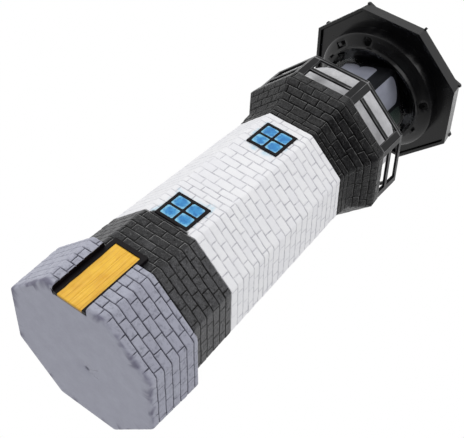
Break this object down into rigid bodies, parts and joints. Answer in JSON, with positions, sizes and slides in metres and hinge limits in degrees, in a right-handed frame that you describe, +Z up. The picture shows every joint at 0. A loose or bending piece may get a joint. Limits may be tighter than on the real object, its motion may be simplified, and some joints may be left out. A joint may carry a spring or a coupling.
{
  "type": "garden lighthouse ornament",
  "caption": "Octagonal cast lighthouse garden ornament with gallery, railing and a lift-off solar lamp head holding a turning beacon.",
  "frame": {"origin": "middle of the base, on the ground", "axes": "+Z up along the tower, the door faces -Y"},
  "size_m": [0.1186, 0.1186, 0.355],
  "materials": {
    "slate_resin": "matte",
    "black_resin": "satin",
    "white_resin": "matte",
    "dark_frame": "satin",
    "yellow_door": "satin",
    "blue_pane": "gloss",
    "black_railing": "satin",
    "black_plastic": "satin",
    "seal_rubber": "matte",
    "switch_plastic": "satin",
    "board_green": "satin",
    "solar_cell": "gloss",
    "clear_cover": "gloss",
    "screw_steel": "satin",
    "motor_steel": "satin",
    "bulb_clear": "gloss",
    "battery_wrap": "gloss",
    "contact_steel": "gloss",
    "component_black": "satin",
    "clear_plastic": "gloss",
    "gear_plastic": "satin",
    "lens_frosted": "satin",
    "lens_green": "satin"
  },
  "bodies": {
    "tower": {"base_block": "slate_resin", "lower_shaft": "black_resin", "upper_shaft": "white_resin", "gallery": "black_resin", "lamp_drum": "white_resin", "door_frame": "dark_frame", "door_panel": "yellow_door", "lower_window_frame": "dark_frame", "lower_window_panes": "blue_pane", "upper_window_frame": "dark_frame", "upper_window_panes": "blue_pane", "railing_top_rail": "black_railing", "railing_posts": "black_railing", "railing_mid_rails": "black_railing"},
    "lamp_head": {"roof": "black_plastic", "head_base": "black_plastic", "tube_seal": "seal_rubber", "switch_body": "switch_plastic", "solar_board": "board_green", "solar_cells": "solar_cell", "panel_cover": "clear_cover", "roof_screws": "screw_steel", "motor": "motor_steel", "motor_screws": "screw_steel", "light_board": "board_green", "light_bulbs": "bulb_clear", "bearing_clip": "screw_steel", "batteries": "battery_wrap", "battery_tray": "black_plastic", "battery_contacts": "contact_steel", "charge_board": "board_green", "board_components": "component_black"},
    "lamp_tube": {"clear_tube": "clear_plastic"},
    "beacon": {"beacon_gear": "gear_plastic", "beacon_shade": "black_plastic", "beacon_lenses": "lens_frosted", "beacon_side_lenses": "lens_green"},
    "motor_drive": {"motor_shaft": "screw_steel", "motor_pinion": "gear_plastic"},
    "power_switch": {"switch_knob": "switch_plastic"}
  },
  "joints": [
    {"name": "head_lift", "type": "slide", "parent": "tower", "child": "lamp_head", "axis": [0, 0, 1], "range_m": [0, 0.06]},
    {"name": "tube_twist", "type": "hinge", "parent": "lamp_head", "child": "lamp_tube", "pos_m": [0, 0, 0.3], "axis": [0, 0, 1], "range_deg": [0, 20]},
    {"name": "beacon_spin", "type": "hinge", "parent": "lamp_head", "child": "beacon", "pos_m": [0, 0, 0.31], "axis": [0, 0, 1], "continuous": true},
    {"name": "motor_spin", "type": "hinge", "parent": "lamp_head", "child": "motor_drive", "pos_m": [0.01891, 0.01478, 0.316], "axis": [0, 0, 1], "continuous": true},
    {"name": "switch_slide", "type": "slide", "parent": "lamp_head", "child": "power_switch", "axis": [0.682, -0.7314, 0], "range_m": [0, 0.003]}
  ],
  "couplings": [
    {"joint": "motor_spin", "follows": "beacon_spin", "ratio": -4}
  ]
}
